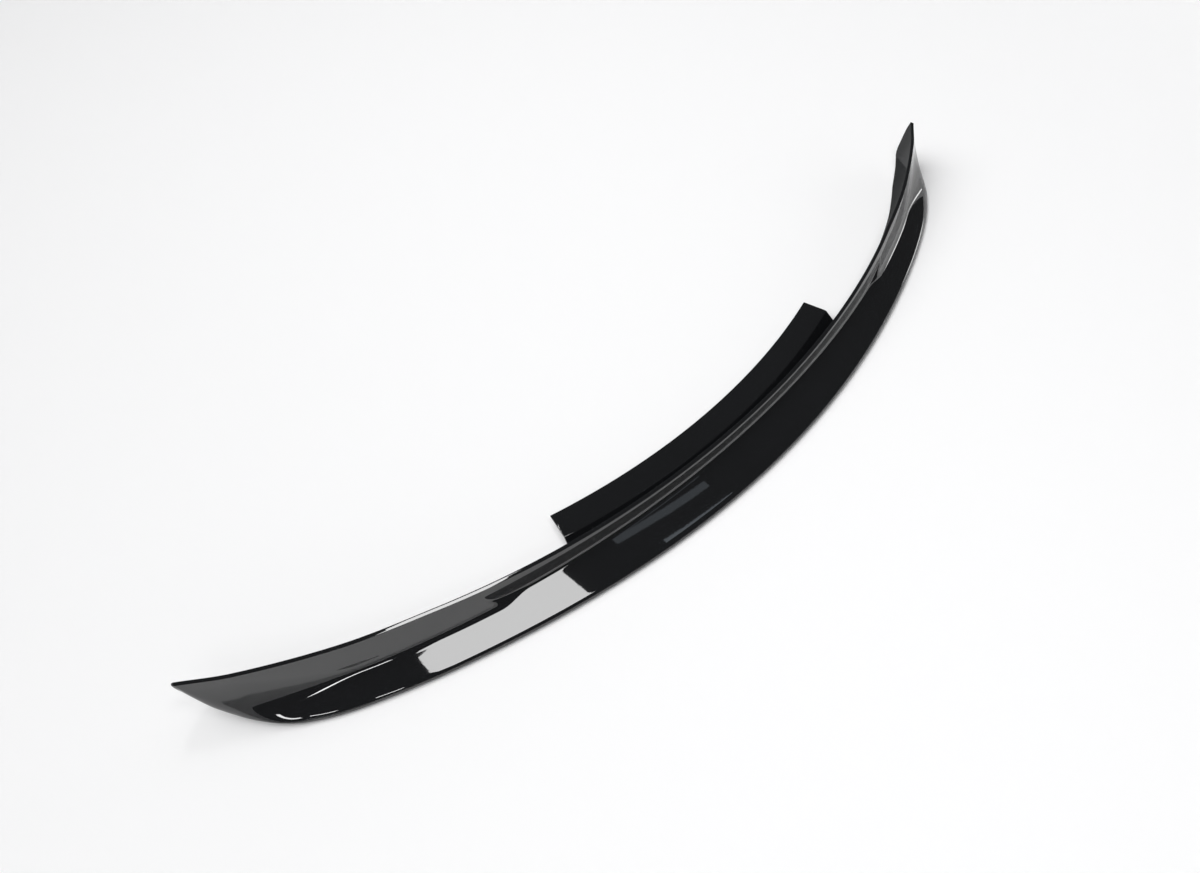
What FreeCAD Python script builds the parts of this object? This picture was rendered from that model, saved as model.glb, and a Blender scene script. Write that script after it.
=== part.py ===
"""Front bumper lip: one swept, gloss moulding that lies on its blade.

X runs along the car's width, Y runs rearward and Z is up; the floor is Z = 0.
Every cross-section stands in a plane of constant X and follows even curves of
the share of the half width, so the piece is the same left and right.
"""
import FreeCAD
import Part
import math
import os
import Sketcher

SIZES = [
    ("half_width", 823, "centre to tip"),
    ("notch_half_span", 473, "centre to the end of the middle recess"),
    ("front_sweep", 216.6, "how far the front edge runs back, square term"),
    ("front_ease", -10.2, "how far the front edge runs back, fourth-power term"),
    ("blade_depth", 62, "front edge to fold at the centre"),
    ("fold_sweep", 169.2, "fold, square term"),
    ("fold_ease", 40.6, "fold, fourth-power term"),
    ("fold_height", 24, "fold above the floor"),
    ("rim_depth", 78, "front edge to the back of the rim at the centre"),
    ("rim_sweep", 185.4, "rim, square term"),
    ("rim_ease", 37.5, "rim, fourth-power term"),
    ("rim_height", 46, "rim above the floor at the centre"),
    ("rim_rise", 35, "rim height gained at the tip, square term"),
    ("rim_curl", 5, "rim height gained at the tip, fourth-power term"),
    ("rim_width", 6.5, "top of the upstand, front to back"),
    ("back_lean", 24, "foot of the back behind the rim at the tip"),
    ("nose_height", 7, "front edge, floor to blade"),
    ("undercut", 5, "foot of the front edge behind its brow"),
    ("recess_depth", 6, "set-back of the middle face at its foot"),
    ("strip_height", 3, "upper border of the recess below the rim at the centre"),
    ("strip_gain", 7, "extra height of that strip at the end of the recess"),
    ("wall", 4, "moulded wall"),
    ("hollow_height", 19, "roof of the open underside"),
    ("hollow_inset", 160, "tip to the end of the open underside"),
    ("nose_round", 4, "rounding of the front edge, upper"),
    ("sole_round", 2.5, "rounding of the front edge, lower"),
    ("fold_round", 12, "rounding of the wing fold near the recess"),
    ("fold_spread", 36, "extra rounding of the wing fold at the tip"),
    ("recess_round", 5, "rounding at the foot of the recess"),
    ("border_round", 6, "rounding at the upper border of the recess"),
    ("rim_round", 1.2, "rounding of the rim"),
    ("tab_height", 19, "top of the rear tab above the floor"),
    ("tab_depth", 42, "fold to rear edge of the tab"),
    ("tab_start", 95, "front edge to the tab's fold at the centre"),
    ("tab_radius", 1300, "plan radius of the tab's fold"),
    ("tab_sweep", 28.6, "opening angle of the tab about its centre"),
    ("tab_slope", 17, "run of the tab's front slope"),
    ("tab_root", 30, "fold to the front of the tab's root"),
    ("tab_thick", 3.5, "tab plate"),
    ("tab_under", 1.6, "lower fold of the tab behind its upper fold"),
    ("tab_round", 3, "rounding of the tab's fold"),
    ("edge_round", 0.8, "rounding of the tab's free edges"),
    ("corner_inset", 128, "tip to where the end leaves the front edge, along the width"),
    ("bend_inset", 58, "tip to the middle of the end outline, along the width"),
    ("bend_lead", 93, "middle of the end outline in front of the tip"),
    ("keel_inset", 98, "tip to where the end lifts off the floor"),
    ("bow_inset", 20, "tip to where the lower edge turns up"),
    ("bow_height", 21, "turn of the lower edge above the floor"),
    ("bow_round", 20, "rounding of that turn"),
    ("stem_reach", 3, "top of the upturned lower edge, outside the tip"),
    ("cut_clear", 60, "how far the end cuts run past the lip"),
]

doc = FreeCAD.newDocument("front_lip")
sheet = doc.addObject("Spreadsheet::Sheet", "Sizes")
for row, (name, value, note) in enumerate(SIZES, start=1):
    sheet.set("A%d" % row, note)
    sheet.set("B%d" % row, str(value))
    sheet.setAlias("B%d" % row, name)
doc.recompute()

body = doc.addObject("PartDesign::Body", "Lip")
body.Label = "front_lip"


def origin_plane(role):
    """Gives one of the body's own origin planes."""
    for feature in body.Origin.OriginFeatures:
        if feature.Role == role:
            return feature
    raise ValueError(role)


def number(expression):
    """Works out an expression on the size sheet."""
    return float(sheet.evalExpression(expression))


def even(start, square, fourth, share):
    """Writes an even curve of the share of the half width."""
    return "(%s + %s * %s ^ 2 + %s * %s ^ 4)" % (start, square, share, fourth, share)


def new_sketch(name, role, station=None):
    """Starts a sketch on an origin plane, or parallel to it at a station."""
    sketch = body.newObject("Sketcher::SketchObject", name)
    sketch.AttachmentSupport = [(origin_plane(role), "")]
    sketch.MapMode = "FlatFace"
    if station:
        sketch.setExpression("AttachmentOffset.Base.z", station)
    return sketch


def bind(sketch, label, constraint, expression):
    """Adds a named dimension that follows the size sheet."""
    index = sketch.addConstraint(constraint)
    sketch.renameConstraint(index, label)
    sketch.setExpression("Constraints." + label, expression)


def fix_point(sketch, label, item, end, across, upward):
    """Places one point of a sketch by two dimensions from its origin."""
    width = Sketcher.Constraint("DistanceX", -1, 1, item, end, number(across))
    height = Sketcher.Constraint("DistanceY", -1, 1, item, end, number(upward))
    bind(sketch, label + "_across", width, across)
    bind(sketch, label + "_up", height, upward)


def unit(start, end):
    """Gives the direction between two points."""
    step = end.sub(start)
    return step.multiply(1 / step.Length)


def outline(sketch, corners):
    """Draws a closed outline of straight sides with square or rounded corners.

    Each corner is across, up and rounding as expressions; no rounding is None.
    """
    points = [FreeCAD.Vector(number(a), number(b), 0) for a, b, _ in corners]
    count = len(points)
    reach = []
    for n, (_, _, rounding) in enumerate(corners):
        before = unit(points[n], points[n - 1])
        after = unit(points[n], points[(n + 1) % count])
        half = before.getAngle(after) / 2
        radius = number(rounding) if rounding else 0
        length = radius / math.tan(half)
        middle = before.add(after).normalize().multiply(radius / math.sin(half)).add(points[n])
        turn = after.cross(before).z
        reach.append((before.multiply(length), after.multiply(length), middle, radius, turn))
    for n in range(count):
        m = (n + 1) % count
        start = points[n].add(reach[n][1])
        end = points[m].add(reach[m][0])
        sketch.addGeometry(Part.LineSegment(start, end))
    for n, (across, upward, rounding) in enumerate(corners):
        label = "corner_%d" % n
        side_in = (n - 1) % count
        if not rounding:
            sketch.addConstraint(Sketcher.Constraint("Coincident", side_in, 2, n, 1))
            fix_point(sketch, label, n, 1, across, upward)
            continue
        back, ahead, middle, radius, turn = reach[n]
        first = points[n].add(back).sub(middle)
        last = points[n].add(ahead).sub(middle)
        angles = [math.atan2(first.y, first.x), math.atan2(last.y, last.x)]
        ends = (1, 2)
        if turn < 0:
            angles.reverse()
            ends = (2, 1)
        circle = Part.Circle(middle, FreeCAD.Vector(0, 0, 1), radius)
        arc = sketch.addGeometry(Part.ArcOfCircle(circle, angles[0], angles[1]))
        sketch.addConstraint(Sketcher.Constraint("Tangent", side_in, 2, arc, ends[0]))
        sketch.addConstraint(Sketcher.Constraint("Tangent", arc, ends[1], n, 1))
        bind(sketch, label + "_round", Sketcher.Constraint("Radius", arc, radius), rounding)
        corner = sketch.addGeometry(Part.Point(points[n]), True)
        sketch.addConstraint(Sketcher.Constraint("PointOnObject", corner, 1, side_in))
        sketch.addConstraint(Sketcher.Constraint("PointOnObject", corner, 1, n))
        fix_point(sketch, label, corner, 1, across, upward)
    return sketch


def skin_corners(station, recessed):
    """Lists the outer corners of the lip at one station, nose first."""
    share = "((%s) / Sizes.half_width)" % station
    nose = even("0", "Sizes.front_sweep", "Sizes.front_ease", share)
    fold = even("Sizes.blade_depth", "Sizes.fold_sweep", "Sizes.fold_ease", share)
    rim = even("Sizes.rim_depth", "Sizes.rim_sweep", "Sizes.rim_ease", share)
    top = even("Sizes.rim_height", "Sizes.rim_rise", "Sizes.rim_curl", share)
    face = "(%s - Sizes.rim_width)" % rim
    back = "%s + Sizes.back_lean * %s ^ 4" % (rim, share)
    fold_round = "Sizes.fold_round + Sizes.fold_spread * %s ^ 4" % share
    front = [(fold, "Sizes.fold_height", fold_round)]
    if recessed:
        slope = "(Sizes.fold_height - Sizes.nose_height) / (%s - %s)" % (fold, nose)
        lift = "Sizes.fold_height + Sizes.recess_depth * %s" % slope
        reach = "((%s) / Sizes.notch_half_span)" % station
        border_up = "(%s - Sizes.strip_height - Sizes.strip_gain * %s ^ 4)" % (top, reach)
        part = "(%s - Sizes.fold_height) / (%s - Sizes.fold_height)" % (border_up, top)
        border = "%s + (%s - %s) * %s" % (fold, face, fold, part)
        front = [
            ("%s + Sizes.recess_depth" % fold, lift, "Sizes.recess_round"),
            (border, border_up, "Sizes.border_round"),
        ]
    return [
        ("%s + Sizes.undercut" % nose, "0", "Sizes.sole_round"),
        (nose, "Sizes.nose_height", "Sizes.nose_round"),
        *front,
        (face, top, "Sizes.rim_round"),
        (rim, top, "Sizes.rim_round"),
        (back, "0", None),
    ]


def hollow_corners(station):
    """Lists the corners of the open underside at one station."""
    share = "((%s) / Sizes.half_width)" % station
    nose = even("0", "Sizes.front_sweep", "Sizes.front_ease", share)
    fold = even("Sizes.blade_depth", "Sizes.fold_sweep", "Sizes.fold_ease", share)
    rim = even("Sizes.rim_depth", "Sizes.rim_sweep", "Sizes.rim_ease", share)
    return [
        ("%s + Sizes.undercut + 1.5 * Sizes.wall" % nose, "-1", None),
        ("%s + Sizes.wall" % fold, "Sizes.hollow_height", None),
        ("%s - Sizes.wall" % rim, "Sizes.hollow_height", None),
        ("%s - Sizes.wall" % rim, "-1", None),
    ]


def loft(kind, name, sketches):
    """Joins sections by one smooth skin."""
    feature = body.newObject("PartDesign::" + kind, name)
    feature.Profile = sketches[0]
    feature.Sections = sketches[1:]
    feature.Ruled = False
    doc.recompute()
    return feature


MIDDLE = [-1, -0.67, -0.33, 0, 0.33, 0.67, 1]
WING = [0, 0.26, 0.5, 0.72, 0.9, 1.04]

middle = []
for n, part in enumerate(MIDDLE):
    place = "Sizes.notch_half_span * %s" % part
    sketch = new_sketch("MiddleSection%d" % n, "YZ_Plane", place)
    middle.append(outline(sketch, skin_corners(place, True)))
doc.recompute()
loft("AdditiveLoft", "Middle", middle)

wing = []
for n, part in enumerate(WING):
    place = "Sizes.notch_half_span + (Sizes.half_width - Sizes.notch_half_span) * %s" % part
    sketch = new_sketch("WingSection%d" % n, "YZ_Plane", place)
    wing.append(outline(sketch, skin_corners(place, False)))
doc.recompute()
right_wing = loft("AdditiveLoft", "RightWing", wing)


def point(across, upward):
    """Makes a sketch point from two expressions."""
    return FreeCAD.Vector(number(across), number(upward), 0)


def pocket(name, sketch):
    """Cuts a sketch right through, to both sides."""
    feature = body.newObject("PartDesign::Pocket", name)
    feature.Profile = sketch
    feature.Type = "ThroughAll"
    feature.Midplane = True
    doc.recompute()
    return feature


LEAVE = "Sizes.half_width - Sizes.corner_inset"
LEAVE_SHARE = "((%s) / Sizes.half_width)" % LEAVE
CORNER = (LEAVE, even("0", "Sizes.front_sweep", "Sizes.front_ease", LEAVE_SHARE))
TIP = ("Sizes.half_width", "Sizes.rim_depth + Sizes.rim_sweep + Sizes.rim_ease")
BEND = ("Sizes.half_width - Sizes.bend_inset", TIP[1] + " - Sizes.bend_lead")
KEEL = "Sizes.half_width - Sizes.keel_inset"
BOW = "Sizes.half_width - Sizes.bow_inset"
OUTSIDE = "Sizes.half_width + Sizes.cut_clear"

plan = new_sketch("EndPlan", "XY_Plane")
arc = plan.addGeometry(Part.Arc(point(*CORNER), point(*BEND), point(*TIP)))
joints = [
    TIP,
    (TIP[0], TIP[1] + " + Sizes.cut_clear"),
    (OUTSIDE, TIP[1] + " + Sizes.cut_clear"),
    (OUTSIDE, CORNER[1] + " - Sizes.cut_clear"),
    (CORNER[0] + " - Sizes.cut_clear / 2", CORNER[1] + " - Sizes.cut_clear"),
    CORNER,
]
for n in range(5):
    side = plan.addGeometry(Part.LineSegment(point(*joints[n]), point(*joints[n + 1])))
    fix_point(plan, "joint_%d" % n, side, 1, *joints[n])
    if n:
        plan.addConstraint(Sketcher.Constraint("Coincident", side - 1, 2, side, 1))
plan.addConstraint(Sketcher.Constraint("Coincident", arc, 2, 1, 1))
plan.addConstraint(Sketcher.Constraint("Coincident", 5, 2, arc, 1))
fix_point(plan, "corner", arc, 1, *CORNER)
mark = plan.addGeometry(Part.Point(point(*BEND)), True)
plan.addConstraint(Sketcher.Constraint("PointOnObject", mark, 1, arc))
fix_point(plan, "bend", mark, 1, *BEND)
doc.recompute()
end_cut = pocket("EndCut", plan)

keel = new_sketch("KeelSide", "XZ_Plane")
stem_top = "Sizes.rim_height + Sizes.rim_rise + Sizes.rim_curl"
outline(
    keel,
    [
        (KEEL, "0", None),
        (BOW, "Sizes.bow_height", "Sizes.bow_round"),
        ("Sizes.half_width + Sizes.stem_reach", stem_top, None),
        (OUTSIDE, stem_top, None),
        (OUTSIDE, "-Sizes.cut_clear", None),
        (KEEL, "-Sizes.cut_clear", None),
    ],
)
doc.recompute()
keel_cut = pocket("KeelCut", keel)

mirror = body.newObject("PartDesign::Mirrored", "LeftWing")
mirror.Originals = [right_wing, end_cut, keel_cut]
mirror.MirrorPlane = (origin_plane("YZ_Plane"), [""])
body.Tip = mirror
doc.recompute()

HOLLOW = [-1, -0.67, -0.33, 0, 0.33, 0.67, 1]
hollow = []
for n, part in enumerate(HOLLOW):
    place = "(Sizes.half_width - Sizes.hollow_inset) * %s" % part
    sketch = new_sketch("HollowSection%d" % n, "YZ_Plane", place)
    hollow.append(outline(sketch, hollow_corners(place)))
doc.recompute()
loft("SubtractiveLoft", "Hollow", hollow)

tab = new_sketch("TabProfile", "YZ_Plane")
outline(
    tab,
    [
        ("Sizes.tab_start - Sizes.tab_root", "0", None),
        ("Sizes.tab_start - Sizes.tab_root", "Sizes.tab_thick", None),
        ("Sizes.tab_start - Sizes.tab_slope", "Sizes.tab_thick", None),
        ("Sizes.tab_start", "Sizes.tab_height", "Sizes.tab_round"),
        ("Sizes.tab_start + Sizes.tab_depth", "Sizes.tab_height", "Sizes.edge_round"),
        ("Sizes.tab_start + Sizes.tab_depth", "Sizes.tab_height - Sizes.tab_thick", None),
        ("Sizes.tab_start + Sizes.tab_under", "Sizes.tab_height - Sizes.tab_thick", None),
        ("Sizes.tab_start - Sizes.tab_slope + Sizes.tab_under", "0", None),
    ],
)
CENTRE = "Sizes.tab_start + Sizes.tab_radius"
axis_line = Part.LineSegment(point(CENTRE, "0"), point(CENTRE, "Sizes.tab_height"))
axis = tab.addGeometry(axis_line, True)
fix_point(tab, "axis_foot", axis, 1, CENTRE, "0")
fix_point(tab, "axis_head", axis, 2, CENTRE, "Sizes.tab_height")
doc.recompute()
turn = body.newObject("PartDesign::Revolution", "Tab")
turn.Profile = tab
turn.ReferenceAxis = (tab, ["Axis0"])
turn.Midplane = True
turn.setExpression("Angle", "Sizes.tab_sweep")
doc.recompute()

tab_ends = []
for n, edge in enumerate(turn.Shape.Edges, start=1):
    middle_point = edge.valueAt((edge.FirstParameter + edge.LastParameter) / 2)
    flat = abs(middle_point.z - number("Sizes.tab_height")) < 0.01
    across = edge.Curve.TypeId == "Part::GeomLine"
    if flat and across and edge.Length > number("Sizes.tab_depth") / 2:
        tab_ends.append("Edge%d" % n)
rounding = body.newObject("PartDesign::Fillet", "TabEdges")
rounding.Base = (turn, tab_ends)
rounding.setExpression("Radius", "Sizes.edge_round")
doc.recompute()

box = body.Shape.optimalBoundingBox(False)
body.Placement = FreeCAD.Placement(FreeCAD.Vector(0, -(box.YMin + box.YMax) / 2, 0), FreeCAD.Rotation())
doc.recompute()

for item in doc.Objects:
    if "Invalid" in item.State or "Error" in item.State:
        raise RuntimeError("%s did not build" % item.Name)
if body.Shape.isNull() or not body.Shape.isValid() or len(body.Shape.Solids) != 1:
    raise RuntimeError("the lip is not one sound solid")
os.makedirs("parts", exist_ok=True)
body.Shape.exportStep("parts/%s.step" % body.Label)
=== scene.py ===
"""Front bumper lip: its gloss black skin, a pale studio and a camera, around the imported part."""
import math
from typing import NamedTuple

import bmesh
import bpy
import numpy as np
from bpy.props import FloatProperty, FloatVectorProperty, PointerProperty
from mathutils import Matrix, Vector


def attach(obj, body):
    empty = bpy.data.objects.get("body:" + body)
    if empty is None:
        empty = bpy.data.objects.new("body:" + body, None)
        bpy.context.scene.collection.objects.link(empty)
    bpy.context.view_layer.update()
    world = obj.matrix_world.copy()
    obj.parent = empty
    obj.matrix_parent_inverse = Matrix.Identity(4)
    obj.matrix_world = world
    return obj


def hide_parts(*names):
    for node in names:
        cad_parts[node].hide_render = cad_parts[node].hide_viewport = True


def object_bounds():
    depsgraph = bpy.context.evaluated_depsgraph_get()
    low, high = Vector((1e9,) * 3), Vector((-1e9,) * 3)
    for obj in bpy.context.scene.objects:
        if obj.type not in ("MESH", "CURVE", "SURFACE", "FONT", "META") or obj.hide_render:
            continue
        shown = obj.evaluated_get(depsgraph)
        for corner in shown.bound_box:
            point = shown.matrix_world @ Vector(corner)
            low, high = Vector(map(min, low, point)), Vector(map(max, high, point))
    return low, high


bl_info = {
    "name": "Front bumper lip",
    "version": (1, 0, 0),
    "blender": (4, 5, 0),
    "location": "View3D > Sidebar > Lip",
    "description": "Builds a gloss front bumper lip and a pale studio around it",
    "category": "Object",
}

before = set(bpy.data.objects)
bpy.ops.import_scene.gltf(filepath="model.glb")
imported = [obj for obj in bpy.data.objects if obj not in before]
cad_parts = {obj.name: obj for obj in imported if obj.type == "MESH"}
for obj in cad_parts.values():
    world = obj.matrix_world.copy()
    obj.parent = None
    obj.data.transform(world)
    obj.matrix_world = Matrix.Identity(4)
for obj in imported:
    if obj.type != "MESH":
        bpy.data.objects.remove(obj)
CAD_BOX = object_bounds()
NODE = "front_lip"
BODY = "root"


def length(label, default, note):
    """Declares a length in metres."""
    return FloatProperty(name=label, description=note, default=default, unit="LENGTH", precision=4)


def share(label, default, note, highest=1.0):
    """Declares a plain number from nought to a highest value."""
    return FloatProperty(name=label, description=note, default=default, min=0.0, max=highest)


def degrees(label, default, note):
    """Declares an angle, given in degrees."""
    return FloatProperty(name=label, description=note, default=math.radians(default), subtype="ANGLE")


def shade(label, default, note):
    """Declares a colour."""
    return FloatVectorProperty(name=label, description=note, default=default, subtype="COLOR",
                               size=3, min=0.0, max=1.0)


def point(label, default, note):
    """Declares a place in the scene."""
    return FloatVectorProperty(name=label, description=note, default=default, subtype="TRANSLATION",
                               size=3)


class LipSizes(bpy.types.PropertyGroup):
    """Sizes of the lip; sweeps and eases are the square and fourth-power terms along the width."""

    half_width: length("Half width", CAD_BOX[1].x, "Centre to tip")
    nose_depth: length("Nose depth", CAD_BOX[0].y - 0.0026, "Place of the front edge's corner at the centre")
    front_sweep: length("Front sweep", 0.2166, "How far the front edge runs back")
    front_ease: length("Front ease", -0.0102, "How far the front edge runs back, higher term")
    nose_height: length("Nose height", 0.007, "Front edge, floor to blade")
    undercut: length("Undercut", 0.005, "Foot of the front edge behind its brow")
    blade_depth: length("Blade depth", 0.062, "Front edge to fold at the centre")
    fold_sweep: length("Fold sweep", 0.1692, "How far the fold runs back")
    fold_ease: length("Fold ease", 0.0406, "How far the fold runs back, higher term")
    fold_height: length("Fold height", 0.024, "Fold above the floor")
    fold_round: length("Fold rounding", 0.020, "Rounding of the wing fold beside the recess")
    fold_spread: length("Fold spread", -0.010, "Change of that rounding towards the tip")
    bowl_round: length("Bowl rounding", 0.100, "Further rounding of the fold in the dished end")
    rim_depth: length("Rim depth", 0.078, "Front edge to the back of the rim at the centre")
    rim_sweep: length("Rim sweep", 0.1854, "How far the rim runs back")
    rim_ease: length("Rim ease", 0.0375, "How far the rim runs back, higher term")
    rim_lead: length("Rim lead", 0.004, "How far the rim bulges forward on the wing")
    rim_height: length("Rim height", 0.046, "Rim above the floor at the centre")
    rim_rise: length("Rim rise", 0.035, "Height that the rim gains to the tip")
    rim_curl: length("Rim curl", 0.005, "Height that the rim gains to the tip, higher term")
    rim_width: length("Rim width", 0.0065, "Top of the upstand, front to back")
    brow_round: length("Brow rounding", 0.002, "Rounding of the rim's front edge")
    rim_round: length("Rim rounding", 0.0012, "Rounding of the rim's back edge")
    back_lean: length("Back lean", 0.024, "Foot of the back behind the rim at the tip")
    foot_round: length("Foot rounding", 0.001, "Rounding at the foot of the back")
    sole_round: length("Sole rounding", 0.0025, "Rounding under the front edge")
    roll_width: length("Roll width", 0.0085, "How far the front edge rolls onto the blade")
    roll_height: length("Roll height", 0.0057, "How far the front edge rolls down its face")
    bow_roll: length("Bow roll", 0.008, "Extra width of that roll around the dished end")
    notch_half_span: length("Notch half span", 0.475, "Centre to the end of the middle recess")
    notch_run: length("Notch run", 0.005, "Length of the slope that ends the recess")
    notch_round: length("Notch rounding", 0.020, "Length of the recess's round lower corner")
    notch_fade: length("Notch fade", 0.045, "Length over which the recess's foot opens into the wing fold")
    recess_depth: length("Recess depth", 0.006, "Set-back of the middle face at its foot")
    strip_height: length("Strip height", 0.003, "Strip between recess and rim at the centre")
    strip_gain: length("Strip gain", 0.007, "Extra height of that strip at the recess's end")
    recess_round: length("Recess rounding", 0.008, "Rounding at the foot of the recess")
    border_round: length("Border rounding", 0.004, "Rounding at the upper border of the recess")
    corner_inset: length("Corner inset", 0.128, "Tip to where the end leaves the front edge")
    corner_blend: length("Corner blend", 0.008, "Softness of that corner")
    bend_inset: length("Bend inset", 0.058, "Tip to the middle of the end outline")
    bend_lead: length("Bend lead", 0.093, "Middle of the end outline in front of the tip")
    end_lead: length("End lead", 0.0025, "How far the rolled end stands out to that outline")
    keel_inset: length("Keel inset", 0.098, "Tip to where the end lifts off the floor")
    bow_inset: length("Bow inset", 0.020, "Tip to where the lower edge turns up")
    bow_height: length("Bow height", 0.021, "Turn of the lower edge above the floor")
    bow_round: length("Bow rounding", 0.020, "Rounding of that turn")
    stem_reach: length("Stem reach", 0.003, "Top of the upturned lower edge, outside the tip")
    tip_round: length("Tip rounding", 0.004, "Length of the rounded point")
    wall: length("Wall", 0.004, "Moulded wall")
    hollow_height: length("Hollow height", 0.019, "Roof of the open underside")
    hollow_inset: length("Hollow inset", 0.160, "Tip to the end of the open underside")
    tab_height: length("Tab height", 0.019, "Top of the rear tab above the floor")
    tab_depth: length("Tab depth", 0.042, "Fold to rear edge of the tab")
    tab_start: length("Tab start", 0.095, "Front edge to the tab's fold at the centre")
    tab_radius: length("Tab radius", 1.300, "Plan radius of the tab's fold")
    tab_sweep: degrees("Tab sweep", 28.6, "Opening angle of the tab about its centre")
    tab_slope: length("Tab slope", 0.017, "Run of the tab's front slope")
    tab_root: length("Tab root", 0.030, "Fold to the front of the tab's root")
    tab_thick: length("Tab plate", 0.0035, "Thickness of the tab")
    tab_round: length("Tab rounding", 0.007, "Rounding of the tab's fold")
    edge_round: length("Edge rounding", 0.0008, "Rounding of the tab's free edges")


class LipFinish(bpy.types.PropertyGroup):
    """Finish of the moulding."""

    black: shade("Black", (0.0058, 0.0063, 0.0072), "Colour of the moulding")
    black_worn: shade("Lifted black", (0.0080, 0.0086, 0.0097), "Colour where it is a shade lighter")
    raw_black: shade("Raw black", (0.0165, 0.0170, 0.0178), "Colour of the back and the underside")
    gloss: share("Gloss roughness", 0.10, "Roughness under the polish")
    haze: share("Haze", 0.06, "Extra roughness in faint patches")
    raw: share("Raw roughness", 0.50, "Roughness of the back and the underside")
    shine: share("Shine", 0.005, "Shine of the moulding itself, without its polish")
    polish_rough: share("Polish roughness", 0.02, "Roughness of the polish itself")
    polish_index: share("Polish index", 1.8, "Refractive index of the polish", 3.0)
    peel: length("Peel", 0.0000025, "Height of the fine ripple in the polish")
    wave: length("Wave", 0.00004, "Height of the slow wave of the moulded face")
    crease_foot: length("Crease foot", 0.829, "Centre to where the crease on the back meets the floor")
    crease_blend: length("Crease blend", 0.003, "Width over which the finish changes at the crease")
    crease_lean: share("Crease lean", 1.8, "How far the crease runs inward for its height", 10.0)
    tip_raw: share("Raw tip", 0.88, "How raw the back is outside the crease")


class StudioSettings(bpy.types.PropertyGroup):
    """Camera, floor and lamps."""

    camera_place: point("Camera place", (-0.7347, -0.4958, 1.0953), "Where the camera stands")
    camera_heading: degrees("Camera heading", 44.43, "View direction in plan, from +X to +Y")
    camera_pitch: degrees("Camera pitch", 53.02, "View direction below the horizon")
    camera_lens: FloatProperty(name="Lens", description="Focal length on a 36 mm wide picture", default=25.8)
    floor_colour: shade("Floor", (0.965, 0.965, 0.97), "Colour of the floor and the backdrop")
    floor_radius: length("Floor radius", 6.0, "Centre to the backdrop")
    floor_curl: length("Floor curl", 1.0, "Radius of the turn from floor to backdrop")
    floor_sink: length("Floor sink", 0.0003, "Floor below the foot of the lip")
    backdrop_height: length("Backdrop height", 2.4, "Height of the backdrop")
    fill_power: share("Fill power", 2.45, "Level of the wide even light", 20.0)
    fill_spread: degrees("Fill spread", 60.0, "Apparent size of the wide even light")
    fill_place: point("Fill place", (-1.5, 1.26, 2.35), "Side that the wide even light comes from")
    sky: share("Sky", 0.06, "Level of the light from all round")


# Points along each stretch of the finely drawn front, and after it is thinned out.
STRAIGHT = 160
ARC = 120
BORDER = 40
SKIN_POINTS = 72

# Points along the other stretches of a section.
ROLL_POINTS = 14
SOLE_POINTS = 6
BROW_POINTS = 8
RIM_POINTS = 6
FOOT_POINTS = 4
BOW_POINTS = 12
SHORT_SIDE = 2
BACK_SIDE = 10
UNDER_SIDE = 6

# Roundings: the share of a side that one may take, its least reach as a share of its radius,
# and the turn below which it is drawn straight.
SIDE_SHARE = 0.45
WING_SHARE = 0.85
LEAST_REACH = 0.2
FLAT_TURN = 0.002

# Shares of the half width at which the wing's forms start, and over which they grow or fade.
LEAD_START, LEAD_RUN, LEAD_FADE = 0.64, 0.16, 0.07
BOWL_START, BOWL_RUN = 0.78, 0.22

# The wing's upstand keeps the recess's border between these shares of its height.
BORDER_RANGE = (0.1, 0.9)
BORDER_SHARE = 0.1
CORNER_SHARE = 0.9

# The dished end: where its outline and its roll start, in corner insets from the tip, and how near
# that outline has to be to count.
END_START = 2.0
BOW_START = 1.6
OUTLINE_RANGE = 0.2

# The front edge: least height, the shares of its room that the heel and the roll may take, the
# pull of the roll's curve, and the walls between heel and hollow.
LEAST_FACE = 0.001
HEEL_SHARE = 0.4
ROLL_SHARE = 0.66
ROLL_PULL = 0.55
HEEL_WALLS = 1.5


def even(part, start, square, fourth):
    """Even curve of the share of the half width."""
    return start + square * part ** 2 + fourth * part ** 4


def ease(value):
    """Soft step from 0 to 1."""
    value = np.clip(value, 0.0, 1.0)
    return value * value * (3.0 - 2.0 * value)


def rounding(before, corner, after, radius, count, part=SIDE_SHARE):
    """Points of a round corner between two straight sides, its length limited by them."""
    one, two = before - corner, after - corner
    reach_one, reach_two = np.linalg.norm(one), np.linalg.norm(two)
    one, two = one / reach_one, two / reach_two
    angle = math.acos(np.clip(one @ two, -1.0, 1.0))
    room = part * min(reach_one, reach_two)
    reach = min(max(radius / math.tan(angle / 2), LEAST_REACH * radius), room)
    start, end = corner + one * reach, corner + two * reach
    steps = np.linspace(0.0, 1.0, count)[:, None]
    turn = math.pi - angle
    if turn < FLAT_TURN:
        return start + (end - start) * steps
    bisector = (one + two) / np.linalg.norm(one + two)
    centre = corner + bisector * reach / math.cos(angle / 2)
    first, last = start - centre, end - centre
    return centre + (np.sin((1.0 - steps) * turn) * first + np.sin(steps * turn) * last) / math.sin(turn)


def line(start, end, count):
    """Evenly spaced points from start to end, both left out."""
    steps = np.linspace(0.0, 1.0, count + 2)[1:-1, None]
    return start + (end - start) * steps


def fold_depth(s, part):
    """Depth of the fold at a share of the half width."""
    return even(part, s.blade_depth, s.fold_sweep, s.fold_ease)


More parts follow.
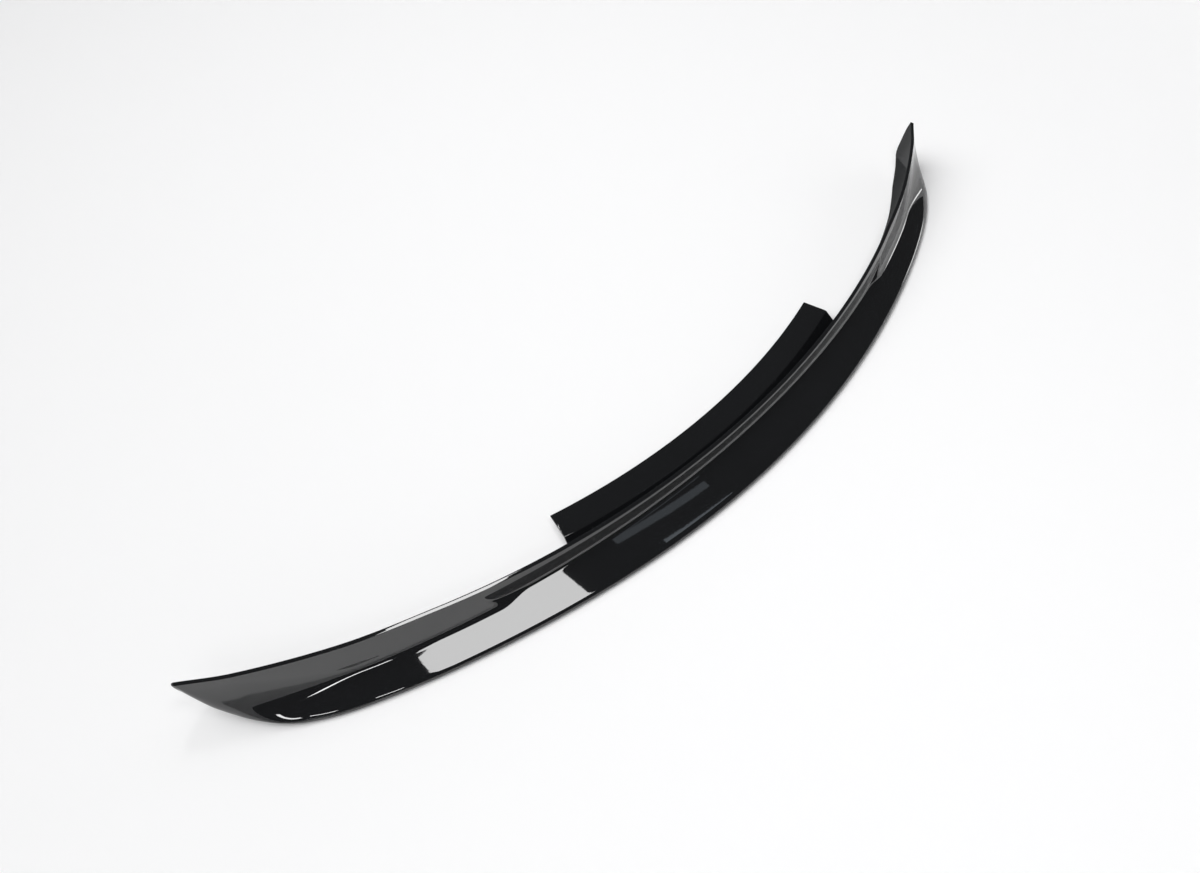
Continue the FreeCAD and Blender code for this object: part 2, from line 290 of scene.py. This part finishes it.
def end_outline(s, x):
    """Depth of the arc that bounds the end in plan, from three points that it passes."""
    corner = s.half_width - s.corner_inset
    tip_depth = s.rim_depth + s.rim_sweep + s.rim_ease
    points = np.array([
        (corner, even(corner / s.half_width, 0.0, s.front_sweep, s.front_ease)),
        (s.half_width - s.bend_inset, tip_depth - s.bend_lead),
        (s.half_width, tip_depth),
    ])
    system = np.column_stack((2.0 * points, np.ones(3)))
    cx, cy, rest = np.linalg.solve(system, (points ** 2).sum(axis=1))
    radius = math.sqrt(rest + cx ** 2 + cy ** 2)
    return cy - math.sqrt(max(radius ** 2 - (x - cx) ** 2, 0.0))


def keel(s, x):
    """Height of the lower edge, which lifts towards the tip and then turns up."""
    start = s.half_width - s.keel_inset
    turn = s.half_width - s.bow_inset
    top = s.rim_height + s.rim_rise + s.rim_curl
    corners = np.array([(start, 0.0), (turn, s.bow_height), (s.half_width + s.stem_reach, top)])
    bow = rounding(*corners, s.bow_round, BOW_POINTS)
    path = np.vstack(((0.0, 0.0), corners[0], bow, corners[2]))
    return float(np.interp(x, path[:, 0], path[:, 1]))


def front_edge(s, x, limit):
    """Depth of the front edge, which leaves its sweep softly to follow the end outline."""
    nose = even(x / s.half_width, 0.0, s.front_sweep, s.front_ease)
    if x < s.half_width - END_START * s.corner_inset:
        return nose
    soft = nose
    gap = end_outline(s, x) - nose
    if gap > -OUTLINE_RANGE:
        soft = nose + (gap + math.sqrt(gap ** 2 + s.corner_blend ** 2)) / 2
    fade = ease((x - s.half_width + END_START * s.corner_inset) / s.corner_inset)
    lead = s.end_lead * ease((x - s.half_width + s.corner_inset) / s.bend_inset)
    return float(min(nose + (soft - nose) * fade - lead, limit))


def wing_curve(nose, fold, rim, border_height, fold_round):
    """Blade, rounded fold and plain upstand up to the rim, at fixed counts."""
    low = rounding(nose, fold, rim, fold_round, ARC, WING_SHARE)
    left = (rim[1] - border_height) / (rim[1] - low[-1][1])
    border = rim + (low[-1] - rim) * np.clip(left, *BORDER_RANGE)
    above = border + (rim - border) * BORDER_SHARE
    blade = np.vstack((nose, line(nose, low[0], STRAIGHT)))
    face = line(low[-1], border, STRAIGHT)
    strip = np.vstack((line(above, rim, STRAIGHT), rim))
    return np.vstack((blade, low, face, border, line(border, above, BORDER - 2), above, strip))


def recess_curve(nose, foot, border, rim, foot_round, border_round):
    """Blade, foot of the recess, its face, its border and the strip up to the rim, at fixed counts."""
    low = rounding(nose, foot, border, foot_round, ARC)
    high = rounding(foot, border, rim, border_round, BORDER)
    blade = np.vstack((nose, line(nose, low[0], STRAIGHT)))
    face = line(low[-1], high[0], STRAIGHT)
    strip = np.vstack((line(high[-1], rim, STRAIGHT), rim))
    return np.vstack((blade, low, face, high, strip))


def skin(s, x):
    """Front of the lip at one station, from the nose's corner to the rim's front corner."""
    part = x / s.half_width
    nose = np.array((even(part, 0.0, s.front_sweep, s.front_ease), s.nose_height))
    fold = np.array((fold_depth(s, part), s.fold_height))
    top = even(part, s.rim_height, s.rim_rise, s.rim_curl)
    lead = s.rim_lead * float(ease((part - LEAD_START) / LEAD_RUN) * ease((1.0 - part) / LEAD_FADE))
    rim = np.array((even(part, s.rim_depth, s.rim_sweep, s.rim_ease) - s.rim_width - lead, top))
    reach = min(x / s.notch_half_span, 1.0)
    border_height = top - s.strip_height - s.strip_gain * reach ** 4
    bowl = s.bowl_round * float(ease((part - BOWL_START) / BOWL_RUN))
    plain = wing_curve(nose, fold, rim, border_height, s.fold_round + s.fold_spread * part ** 4 + bowl)
    inside = s.notch_half_span - x
    if inside < 0.0:
        return plain
    slope = (fold - nose) / (fold[0] - nose[0])
    foot = fold + slope * s.recess_depth
    border = fold + (rim - fold) * (border_height - s.fold_height) / (top - s.fold_height)
    sunk = recess_curve(nose, foot, border, rim, s.recess_round, s.border_round)
    row = np.arange(len(plain))
    low, high = STRAIGHT + ARC / 2, 2 * STRAIGHT + ARC + BORDER / 2
    drop = np.clip((high - row) / (high - low), 0.0, 1.0)
    corner = s.notch_round * (1.0 - np.sqrt(1.0 - CORNER_SHARE * drop ** 2))
    run = s.notch_run + s.notch_fade * drop ** 4
    depth = ease((inside - corner) / run)[:, None]
    return plain + (sunk - plain) * depth


def rolled_edge(face_top, brow, blade):
    """Curve from the front face over the brow onto the blade's first point, which is left out."""
    ahead = (blade[1] - blade[0]) / np.linalg.norm(blade[1] - blade[0])
    one = face_top + (brow - face_top) * ROLL_PULL
    two = blade[0] - ahead * np.linalg.norm(brow - blade[0]) * ROLL_PULL
    steps = np.linspace(0.0, 1.0, ROLL_POINTS)[:-1, None]
    return ((1 - steps) ** 3 * face_top + 3 * (1 - steps) ** 2 * steps * one
            + 3 * (1 - steps) * steps ** 2 * two + steps ** 3 * blade[0])


def section(s, x):
    """Closed outline of the lip at one station, as depth behind the nose and height."""
    x = abs(x)
    part = x / s.half_width
    curve = skin(s, x)
    low = keel(s, x)
    rim_front = curve[-1]
    rim_back = np.array((rim_front[0] + s.rim_width, rim_front[1]))
    front = front_edge(s, x, rim_front[0] - s.brow_round)
    lean = s.back_lean * part ** 4
    foot = np.array((rim_back[0] + lean * (1.0 - low / rim_back[1]), low))

    bow = ease((x - s.half_width + BOW_START * s.corner_inset) / s.corner_inset)
    bow = float(bow * ease((s.half_width - x) / s.bend_inset))
    roll = min(s.roll_width + s.bow_roll * bow, (rim_front[0] - front) / 2)
    row = np.linspace(0.0, 1.0, len(curve))
    cut = np.interp(front + roll, curve[:, 0], row)
    rows = cut + (1.0 - cut) * np.linspace(0.0, 1.0, SKIN_POINTS)
    skin_row = np.column_stack((np.interp(rows, row, curve[:, 0]), np.interp(rows, row, curve[:, 1])))
    brow = np.array((front, max(np.interp(front, curve[:, 0], curve[:, 1]), low + LEAST_FACE)))
    undercut = s.undercut * (brow[1] - low) / s.nose_height
    heel = np.array((front + min(undercut, HEEL_SHARE * (rim_front[0] - front)), low))
    face = heel - brow
    face_top = brow + face * min(s.roll_height * (1.0 + bow) / np.linalg.norm(face), ROLL_SHARE)

    sole = rounding(foot, heel, face_top, s.sole_round, SOLE_POINTS)
    rim_one = rounding(skin_row[-2], rim_front, rim_back, s.brow_round, BROW_POINTS)
    rim_two = rounding(rim_front, rim_back, foot, s.rim_round, RIM_POINTS)
    base = rounding(rim_back, foot, heel, s.foot_round, FOOT_POINTS)
    roof = s.hollow_height if x < s.half_width - s.hollow_inset else low
    hollow = np.array((
        (rim_back[0] - s.wall, low),
        (rim_back[0] - s.wall, roof),
        (fold_depth(s, part) + s.wall, roof),
        (heel[0] + HEEL_WALLS * s.wall, low),
    ))
    if roof == low:
        hollow[:, 0] = np.linspace(base[-1][0], sole[0][0], len(hollow) + 2)[1:-1]
    return np.vstack((
        sole, line(sole[-1], face_top, SHORT_SIDE), rolled_edge(face_top, brow, skin_row), skin_row[:-1],
        rim_one, line(rim_one[-1], rim_two[0], SHORT_SIDE), rim_two,
        line(rim_two[-1], base[0], BACK_SIDE), base,
        hollow[:1], line(hollow[0], hollow[1], SHORT_SIDE),
        hollow[1:2], line(hollow[1], hollow[2], SHORT_SIDE),
        hollow[2:3], line(hollow[2], hollow[3], UNDER_SIDE), hollow[3:],
    ))


# Places of closer stations before, at and past the end of the recess, and the step that the
# underside takes from hollow to solid.
NOTCH_NEAR = 0.066
NOTCH_AT = 0.024
NOTCH_PAST = 0.001
HOLLOW_STEP = 0.00001
TIP_STATIONS = 10


def stations(s):
    """Places along the right half, closer together where the form changes fast."""
    notch = s.notch_half_span
    end = s.half_width - s.hollow_inset
    bowl = s.half_width - BOW_START * s.corner_inset
    bow = s.half_width - s.bow_inset - s.bow_round
    tip = s.half_width - s.tip_round
    spans = [
        (0.0, notch - NOTCH_NEAR, 48),
        (notch - NOTCH_NEAR, notch - NOTCH_AT, 34),
        (notch - NOTCH_AT, notch + NOTCH_PAST, 44),
        (notch + NOTCH_PAST, end - 2 * HOLLOW_STEP, 34),
        (end, bowl, 4),
        (bowl, bow, 84),
        (bow, tip, 40),
    ]
    places = [np.linspace(start, stop, count, endpoint=False) for start, stop, count in spans]
    places.append(np.array([end - HOLLOW_STEP]))
    angles = np.linspace(0.0, math.pi / 2, TIP_STATIONS)
    places.append(tip + s.tip_round * np.sin(angles[:-1]))
    return np.unique(np.concatenate(places))


def skin_mesh(s):
    """Closed mesh of the lip without its tab."""
    right = stations(s)
    places = np.concatenate((-right[:0:-1], right))
    tip = s.half_width - s.tip_round
    loops = []
    for x in places:
        loop = section(s, x)
        past = (abs(x) - tip) / s.tip_round
        if past > 0.0:
            centre = (loop.min(axis=0) + loop.max(axis=0)) / 2
            loop = centre + (loop - centre) * math.sqrt(max(1.0 - past ** 2, 0.0))
        loops.append(np.column_stack((np.full(len(loop), x), loop[:, 0] + s.nose_depth, loop[:, 1])))
    ring = len(loops[0])
    points = np.concatenate(loops)
    faces = []
    for n in range(len(loops) - 1):
        for k in range(ring):
            m = (k + 1) % ring
            faces.append((n * ring + k, (n + 1) * ring + k, (n + 1) * ring + m, n * ring + m))
    faces.append(tuple(range(ring)))
    faces.append(tuple(reversed(range(len(points) - ring, len(points)))))
    mesh = bpy.data.meshes.new("lip_skin")
    mesh.from_pydata(points.tolist(), [], faces)
    mesh.update()
    return mesh


TAB_STATIONS = 121
TAB_POINTS = 8
TAB_BEVEL = 3


def tab_profile(s):
    """Outline of the tab across its plan curve, as depth behind the nose and height."""
    rear = s.tab_start + s.tab_depth
    under = s.tab_height - s.tab_thick
    gain = s.tab_thick * math.tan(math.atan2(s.tab_height - s.tab_thick, s.tab_slope) / 2)
    corners = (
        (s.tab_start - s.tab_root, 0.0, None),
        (s.tab_start - s.tab_root, s.tab_thick, None),
        (s.tab_start - s.tab_slope, s.tab_thick, s.tab_round),
        (s.tab_start, s.tab_height, s.tab_round),
        (rear, s.tab_height, s.edge_round),
        (rear, under, None),
        (s.tab_start + gain, under, None),
        (s.tab_start - s.tab_slope + gain, 0.0, None),
    )
    places = [np.array(corner[:2]) for corner in corners]
    profile = []
    for n, (depth, height, radius) in enumerate(corners):
        if radius is None:
            profile.append((depth, height))
        else:
            after = places[(n + 1) % len(places)]
            profile.extend(rounding(places[n - 1], places[n], after, radius, TAB_POINTS))
    return np.array(profile)


def tab_mesh(s):
    """Closed mesh of the rear tab, turned about its plan centre."""
    profile = tab_profile(s)
    axis = s.tab_start + s.tab_radius
    reach = axis - profile[:, 0]
    bm = bmesh.new()
    loops = []
    for angle in np.linspace(-s.tab_sweep / 2, s.tab_sweep / 2, TAB_STATIONS):
        depth = axis - reach * math.cos(angle) + s.nose_depth
        ring = np.column_stack((reach * math.sin(angle), depth, profile[:, 1]))
        loops.append([bm.verts.new(p) for p in ring])
    count = len(profile)
    for one, two in zip(loops, loops[1:]):
        for k in range(count):
            m = (k + 1) % count
            bm.faces.new((one[k], two[k], two[m], one[m]))
    caps = [bm.faces.new(loops[0]), bm.faces.new(tuple(reversed(loops[-1])))]
    edges = [e for cap in caps for e in cap.edges]
    bmesh.ops.bevel(bm, geom=edges, offset=s.edge_round, segments=TAB_BEVEL, profile=0.5,
                    affect="EDGES", clamp_overlap=True)
    bmesh.ops.recalc_face_normals(bm, faces=bm.faces)
    mesh = bpy.data.meshes.new("lip_tab")
    bm.to_mesh(mesh)
    bm.free()
    return mesh


def joined(base, addition):
    """Mesh of two closed objects joined to one."""
    modifier = base.modifiers.new("join", "BOOLEAN")
    modifier.operation = "UNION"
    modifier.solver = "MANIFOLD"
    modifier.object = addition
    graph = bpy.context.evaluated_depsgraph_get()
    mesh = bpy.data.meshes.new_from_object(base.evaluated_get(graph))
    base.modifiers.remove(modifier)
    return mesh


def new_object(name, data):
    """Puts a mesh, a lamp or a camera into the scene."""
    obj = bpy.data.objects.new(name, data)
    bpy.context.scene.collection.objects.link(obj)
    return obj


def node_tree(material):
    """Starts a material's nodes and gives its shader."""
    material.use_nodes = True
    return material.node_tree, material.node_tree.nodes["Principled BSDF"]


def feed(tree, socket, value):
    """Links a socket to another one, or sets it to a constant."""
    if isinstance(value, bpy.types.NodeSocket):
        tree.links.new(value, socket)
    else:
        socket.default_value = value


def slope_mask(tree, value, low, high, start=0.0, end=1.0):
    """Mask that goes from start to end while a value goes from low to high."""
    mask = tree.nodes.new("ShaderNodeMapRange")
    names = ("Value", "From Min", "From Max", "To Min", "To Max")
    for name, setting in zip(names, (value, low, high, start, end)):
        feed(tree, mask.inputs[name], setting)
    return mask.outputs["Result"]


def sum_of(tree, operation, one, two):
    """Result of one sum on two sockets, or on a socket and a number."""
    node = tree.nodes.new("ShaderNodeMath")
    node.operation = operation
    for socket, value in zip(node.inputs, (one, two)):
        feed(tree, socket, value)
    return node.outputs["Value"]


def blend(tree, kind, factor, one, two):
    """Blend of two colours or numbers by a mask."""
    node = tree.nodes.new("ShaderNodeMix")
    node.data_type = kind
    for name, value in (("Factor", factor), ("A", one), ("B", two)):
        feed(tree, node.inputs[name], value)
    return node.outputs["Result"]


def mottle(tree, scale, detail, place=None):
    """Noise over the surface."""
    node = tree.nodes.new("ShaderNodeTexNoise")
    node.inputs["Scale"].default_value = scale
    node.inputs["Detail"].default_value = detail
    if place is not None:
        tree.links.new(place, node.inputs["Vector"])
    return node.outputs["Fac"]


def ripple(tree, height, distance, normal=None):
    """Normal bent by a height, on top of another bent normal if there is one."""
    node = tree.nodes.new("ShaderNodeBump")
    node.inputs["Distance"].default_value = distance
    tree.links.new(height, node.inputs["Height"])
    if normal is not None:
        tree.links.new(normal, node.inputs["Normal"])
    return node.outputs["Normal"]


# How far a face has to turn to the back, or to the floor, to be raw.
TO_BACK = (0.30, 0.55)
TO_FLOOR = (-0.2, -0.6)

# Scale and detail of the patches, of the fine ripple and of the slow wave.
PATCHES = (9.0, 5.0)
PATCH_RANGE = (0.35, 0.75)
PEEL = (320.0, 1.0)
WAVE = (14.0, 0.0)
MOULDING_INDEX = 1.5
SHARP_EDGE = math.radians(38.0)


def raw_side(tree, finish, place):
    """Mask of the raw moulding: the back up to the crease at each tip, and the underside."""
    geometry = tree.nodes.new("ShaderNodeNewGeometry")
    facing = tree.nodes.new("ShaderNodeSeparateXYZ")
    tree.links.new(geometry.outputs["Normal"], facing.inputs["Vector"])
    spot = tree.nodes.new("ShaderNodeSeparateXYZ")
    tree.links.new(place, spot.inputs["Vector"])
    aside = sum_of(tree, "ABSOLUTE", spot.outputs["X"], 0.0)
    lean = sum_of(tree, "MULTIPLY", spot.outputs["Z"], finish.crease_lean)
    crease = sum_of(tree, "ADD", aside, lean)
    inner_end = finish.crease_foot - finish.crease_blend
    inner = slope_mask(tree, crease, finish.crease_foot, inner_end, finish.tip_raw)
    back = sum_of(tree, "MULTIPLY", slope_mask(tree, facing.outputs["Y"], *TO_BACK), inner)
    below = slope_mask(tree, facing.outputs["Z"], *TO_FLOOR)
    return sum_of(tree, "MAXIMUM", back, below)


def gloss_black(finish):
    """Gloss black moulding: polished in front and on top, raw at the back and below."""
    material = bpy.data.materials.new("gloss_black")
    tree, shader = node_tree(material)
    place = tree.nodes.new("ShaderNodeTexCoord").outputs["Object"]
    raw = raw_side(tree, finish, place)
    patches = mottle(tree, *PATCHES, place)
    tone = blend(tree, "RGBA", patches, (*finish.black, 1.0), (*finish.black_worn, 1.0))
    gloss = slope_mask(tree, patches, *PATCH_RANGE, finish.gloss, finish.gloss + finish.haze)
    fine = ripple(tree, mottle(tree, *PEEL, place), finish.peel)
    slow = ripple(tree, mottle(tree, *WAVE, place), finish.wave, fine)
    settings = {
        "Base Color": blend(tree, "RGBA", raw, tone, (*finish.raw_black, 1.0)),
        "Roughness": blend(tree, "FLOAT", raw, gloss, finish.raw),
        "Normal": slow,
        "IOR": MOULDING_INDEX,
        "Specular IOR Level": finish.shine,
        "Coat Weight": sum_of(tree, "SUBTRACT", 1.0, raw),
        "Coat Roughness": finish.polish_rough,
        "Coat IOR": finish.polish_index,
        "Coat Normal": slow,
    }
    for name, value in settings.items():
        feed(tree, shader.inputs[name], value)
    return material


class LIP_OT_skin(bpy.types.Operator):
    """Builds the lip's smooth skin with its rear tab, as one closed piece"""

    bl_idname = "lip.skin"
    bl_label = "Build lip"

    def execute(self, context):
        sizes = context.scene.lip_sizes
        base = new_object("lip_base", skin_mesh(sizes))
        tab = new_object("lip_tab", tab_mesh(sizes))
        mesh = joined(base, tab)
        for part in (base, tab):
            bpy.data.objects.remove(part)
        mesh.name = "front_lip_skin"
        mesh.materials.clear()
        mesh.materials.append(gloss_black(context.scene.lip_finish))
        mesh.shade_smooth()
        mesh.set_sharp_from_angle(angle=SHARP_EDGE)
        lip = new_object("front_lip_skin", mesh)
        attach(lip, BODY)
        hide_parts(NODE)
        return {"FINISHED"}


FLOOR_MOTTLE = (3.0, 2.0)
FLOOR_SHADE = 0.985
FLOOR_ROUGHNESS = 0.9
CURL_STEPS = 10
ROUND_STEPS = 96


def pale_floor(colour):
    """Plain pale floor paint with a faint mottle."""
    material = bpy.data.materials.new("pale_floor")
    tree, shader = node_tree(material)
    darker = [FLOOR_SHADE * c for c in colour]
    tone = blend(tree, "RGBA", mottle(tree, *FLOOR_MOTTLE), (*colour, 1.0), (*darker, 1.0))
    tree.links.new(tone, shader.inputs["Base Color"])
    shader.inputs["Roughness"].default_value = FLOOR_ROUGHNESS
    shader.inputs["Specular IOR Level"].default_value = 0.0
    return material


def sweep_mesh(radius, height, curl, sink):
    """Round floor that curls up into a backdrop all round."""
    flat = radius - curl
    profile = [(flat, -sink)]
    for angle in np.linspace(0.0, math.pi / 2, CURL_STEPS)[1:]:
        profile.append((flat + curl * math.sin(angle), curl - curl * math.cos(angle) - sink))
    profile.append((radius, height))
    bm = bmesh.new()
    centre = bm.verts.new((0.0, 0.0, -sink))
    turns = np.linspace(0.0, 2.0 * math.pi, ROUND_STEPS, endpoint=False)
    rings = [[bm.verts.new((reach * math.cos(a), reach * math.sin(a), z)) for a in turns]
             for reach, z in profile]
    for k in range(ROUND_STEPS):
        m = (k + 1) % ROUND_STEPS
        bm.faces.new((centre, rings[0][k], rings[0][m]))
        for one, two in zip(rings, rings[1:]):
            bm.faces.new((one[k], two[k], two[m], one[m]))
    mesh = bpy.data.meshes.new("sweep")
    bm.to_mesh(mesh)
    bm.free()
    return mesh


class Lamp(NamedTuple):
    """Rectangular lamp: its place, what it faces, its size in metres and its power in watts."""

    name: str
    place: tuple
    target: tuple
    width: float
    height: float
    power: float
    colour: tuple = (1.0, 1.0, 1.0)
    mirrored: bool = True


BLUISH = (0.80, 0.90, 1.0)
LAMPS = (
    Lamp("blade_softbox", (-0.355, -0.78, 2.40), (-0.355, -0.78, 0.0), 0.93, 0.46, 9.2),
    Lamp("rim_softbox", (0.36, 1.27, 2.60), (-0.48, 0.0, 0.06), 0.48, 0.50, 6.4),
    Lamp("edge_lamp", (-1.37, -1.33, 2.00), (-0.60, 0.0, 0.03), 0.20, 0.24, 1.8),
    Lamp("dish_lamp", (-2.10, -1.40, 2.00), (-0.73, 0.03, 0.01), 0.34, 0.20, 2.1),
    Lamp("side_lamp", (2.90, -0.55, 0.95), (0.60, 0.02, 0.05), 0.50, 0.30, 2.4),
    Lamp("fold_tube", (0.73, -0.545, 2.25), (0.73, -0.545, 0.0), 0.64, 0.034, 0.028, BLUISH),
    Lamp("nose_tube", (0.87, -0.662, 2.25), (0.87, -0.662, 0.0), 0.52, 0.030, 0.045, BLUISH),
    Lamp("back_fill", (0.45, 1.45, 2.60), (0.45, 1.45, 0.0), 3.00, 3.00, 11.0, mirrored=False),
)
PICTURE_WIDTH = 36.0


def face(obj, place, direction):
    """Stands an object at a place, facing a direction."""
    obj.location = place
    obj.rotation_euler = direction.to_track_quat("-Z", "Y").to_euler()


def add_lamp(lamp):
    """Hangs a rectangular lamp, which the camera doesn't see."""
    data = bpy.data.lights.new(lamp.name, "AREA")
    data.shape = "RECTANGLE"
    data.size = lamp.width
    data.size_y = lamp.height
    data.energy = lamp.power
    data.color = lamp.colour
    obj = new_object(lamp.name, data)
    face(obj, lamp.place, Vector(lamp.target) - Vector(lamp.place))
    obj.visible_camera = False
    obj.visible_glossy = lamp.mirrored


def add_fill(settings):
    """Wide even light from behind on the left, which the polish doesn't mirror."""
    data = bpy.data.lights.new("fill", "SUN")
    data.energy = settings.fill_power
    data.angle = settings.fill_spread
    obj = new_object("fill", data)
    face(obj, settings.fill_place, -Vector(settings.fill_place))
    obj.visible_glossy = False


def add_sky(scene, level):
    """Faint even light from all round."""
    scene.world = bpy.data.worlds.new("studio")
    scene.world.use_nodes = True
    background = scene.world.node_tree.nodes["Background"]
    background.inputs["Color"].default_value = (1.0, 1.0, 1.0, 1.0)
    background.inputs["Strength"].default_value = level


def add_camera(scene, settings):
    """Camera that looks down on the lip from in front, on the left."""
    data = bpy.data.cameras.new("camera")
    data.sensor_fit = "HORIZONTAL"
    data.sensor_width = PICTURE_WIDTH
    data.lens = settings.camera_lens
    heading, pitch = settings.camera_heading, settings.camera_pitch
    flat = math.cos(pitch)
    scene.camera = new_object("camera", data)
    face(scene.camera, settings.camera_place,
         Vector((flat * math.cos(heading), flat * math.sin(heading), -math.sin(pitch))))


class LIP_OT_studio(bpy.types.Operator):
    """Builds the floor with its backdrop, the lamps, the sky and the camera"""

    bl_idname = "lip.studio"
    bl_label = "Build studio"

    def execute(self, context):
        settings = context.scene.lip_studio
        floor = new_object("sweep", sweep_mesh(settings.floor_radius, settings.backdrop_height,
                                               settings.floor_curl, settings.floor_sink))
        floor.data.materials.append(pale_floor(settings.floor_colour))
        floor.data.shade_smooth()
        for lamp in LAMPS:
            add_lamp(lamp)
        add_fill(settings)
        add_sky(context.scene, settings.sky)
        add_camera(context.scene, settings)
        context.scene.view_settings.view_transform = "Standard"
        return {"FINISHED"}


class LIP_PT_panel(bpy.types.Panel):
    """Lists the lip's builders and sizes"""

    bl_idname = "LIP_PT_panel"
    bl_label = "Front bumper lip"
    bl_space_type = "VIEW_3D"
    bl_region_type = "UI"
    bl_category = "Lip"

    def draw(self, context):
        for operator in OPERATORS:
            self.layout.operator(operator.bl_idname)
        for group in GROUPS:
            settings = getattr(context.scene, group)
            for name in settings.__annotations__:
                self.layout.prop(settings, name)


GROUPS = {"lip_sizes": LipSizes, "lip_finish": LipFinish, "lip_studio": StudioSettings}
OPERATORS = (LIP_OT_skin, LIP_OT_studio)
CLASSES = (*GROUPS.values(), *OPERATORS, LIP_PT_panel)


def register():
    """Adds the classes and their settings to Blender."""
    for item in CLASSES:
        bpy.utils.register_class(item)
    for name, group in GROUPS.items():
        setattr(bpy.types.Scene, name, PointerProperty(type=group))


def unregister():
    """Takes the settings and the classes out again."""
    for name in GROUPS:
        delattr(bpy.types.Scene, name)
    for item in reversed(CLASSES):
        bpy.utils.unregister_class(item)


def main():
    """Builds the lip and its studio."""
    register()
    bpy.ops.lip.skin()
    bpy.ops.lip.studio()


if __name__ == "__main__":
    main()
